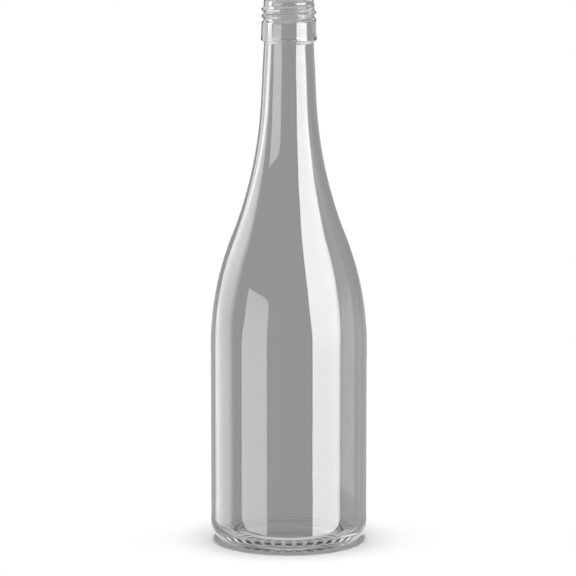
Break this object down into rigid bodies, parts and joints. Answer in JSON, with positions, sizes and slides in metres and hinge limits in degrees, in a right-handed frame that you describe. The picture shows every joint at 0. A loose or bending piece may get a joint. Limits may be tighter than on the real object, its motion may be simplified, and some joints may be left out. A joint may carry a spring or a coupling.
{
  "type": "wine bottle",
  "caption": "Clear glass burgundy wine bottle with sloping shoulders, a tapered neck and a bare screw finish above a plain collar.",
  "frame": {"origin": "centre of the bearing ring that the bottle stands on", "axes": "+Z along the bottle's axis, up towards the mouth; the thread leaves the collar on the -X side"},
  "size_m": [0.083, 0.083, 0.2895],
  "materials": {
    "flint_glass": "gloss"
  },
  "bodies": {
    "root": {"glass_bottle": "flint_glass"}
  },
  "joints": []
}
